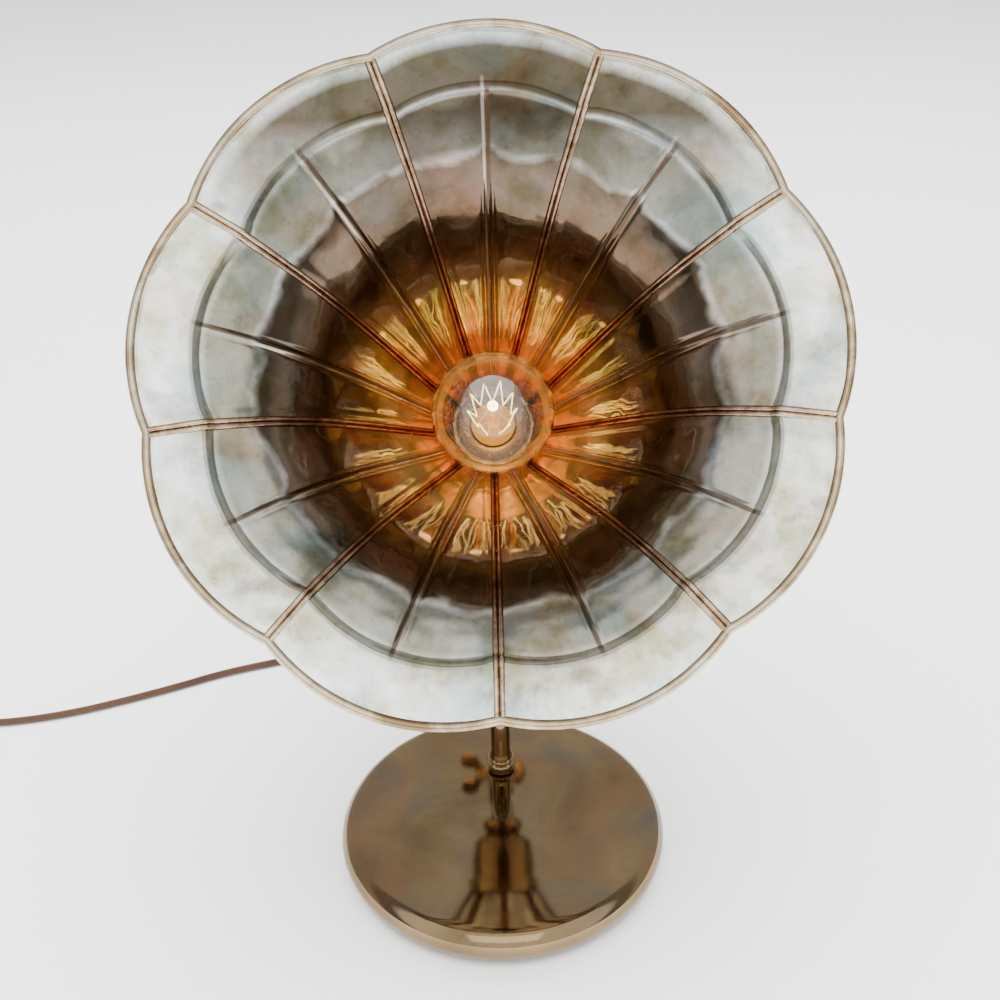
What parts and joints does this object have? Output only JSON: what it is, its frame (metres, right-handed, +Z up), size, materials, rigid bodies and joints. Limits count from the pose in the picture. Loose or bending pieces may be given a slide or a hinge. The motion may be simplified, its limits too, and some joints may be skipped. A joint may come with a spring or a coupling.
{
  "type": "horn table lamp",
  "caption": "Table lamp made from a petalled gramophone horn: a globe bulb glows in the throat, the horn tilts on a knuckle, and a bent arm stands on a heavy round base.",
  "frame": {"origin": "centre of the felt pad's underside, on the surface the lamp stands on", "axes": "+Z up, the bell faces -Y and upwards, +X is to the right seen from the front"},
  "size_m": [0.795, 0.4271, 0.616],
  "materials": {
    "patinated_brass": "olive brown patina, polished",
    "turned_brass": "turned, darkened",
    "steel": "zinc plated",
    "cast_iron": "raw casting",
    "felt": "black felt",
    "friction_fibre": "fibre washer",
    "rubber": "matt",
    "cable_sheath": "matt",
    "cord_textile": "brown braided textile over a round lead",
    "dark_phenolic": "moulded, satin",
    "porcelain": "glazed",
    "bulb_glass": "clear",
    "cap_metal": "rolled thread",
    "cap_vitrite": "black glass",
    "filament_wire": "drawn wire, glowing",
    "tarnished_nickel": "tarnished nickel plate, polished",
    "seam_copper": "folded seam, copper showing",
    "rim_brass": "rolled edge, worn plate"
  },
  "bodies": {
    "stand": {"arm_cable": "cable_sheath", "arm_collar": "patinated_brass", "arm_nut": "steel", "arm_tube": "patinated_brass", "arm_washer": "steel", "base_felt": "felt", "base_plate": "steel", "base_shell": "patinated_brass", "base_weight": "cast_iron", "bolt_washers": "steel", "coil_tie": "rubber", "cord_coil": "cord_textile", "cord_strain_relief": "rubber", "cord_tail": "cord_textile", "cord_to_coil": "cord_textile", "cord_to_switch": "cord_textile", "friction_washer": "friction_fibre", "knuckle_bolt": "turned_brass", "knuckle_fixed_half": "patinated_brass", "plate_screws": "steel", "plug_body": "dark_phenolic", "plug_pins": "steel", "switch_lower": "dark_phenolic", "switch_upper": "dark_phenolic"},
    "horn": {"horn_petal_1": "tarnished_nickel", "horn_petal_2": "tarnished_nickel", "horn_petal_3": "tarnished_nickel", "horn_petal_4": "tarnished_nickel", "horn_petal_5": "tarnished_nickel", "horn_petal_6": "tarnished_nickel", "horn_petal_7": "tarnished_nickel", "horn_petal_8": "tarnished_nickel", "horn_petal_9": "tarnished_nickel", "horn_seams": "seam_copper", "horn_rim": "rim_brass", "throat_ferrule": "patinated_brass", "ferrule_screws": "steel", "lamp_housing": "patinated_brass", "neck_ring": "patinated_brass", "neck_tube": "patinated_brass", "neck_nipple": "steel", "nipple_nut": "steel", "knuckle_tilting_half": "patinated_brass", "holder_body": "porcelain", "holder_skirt": "dark_phenolic", "screw_shell": "turned_brass", "retaining_ring": "dark_phenolic", "centre_contact": "turned_brass", "terminal_screws": "turned_brass"},
    "bulb": {"bulb_glass": "bulb_glass", "bulb_cap": "cap_metal", "cap_insulator": "cap_vitrite", "cap_tip": "cap_metal", "bulb_stem": "bulb_glass", "filament_mount": "filament_wire", "filament": "filament_wire"},
    "wing_nut": {"wing_nut": "turned_brass"},
    "rocker": {"switch_rocker": "dark_phenolic"}
  },
  "joints": [
    {"name": "horn_tilt", "type": "hinge", "parent": "stand", "child": "horn", "pos_m": [0, 0.25701, 0.22242], "axis": [1, 0, 0], "range_deg": [-40, 25]},
    {"name": "wing_nut_turn", "type": "hinge", "parent": "stand", "child": "wing_nut", "pos_m": [0, 0.25701, 0.22242], "axis": [1, 0, 0], "range_deg": [0, 360]},
    {"name": "bulb_out", "type": "slide", "parent": "horn", "child": "bulb", "axis": [0, -0.7848, 0.6198], "range_m": [0, 0.045]},
    {"name": "switch_rocker_tip", "type": "hinge", "parent": "stand", "child": "rocker", "pos_m": [-0.11, 0.2475, 0.009], "axis": [-0.1206, -0.9927, 0], "range_deg": [-14, 0]}
  ]
}
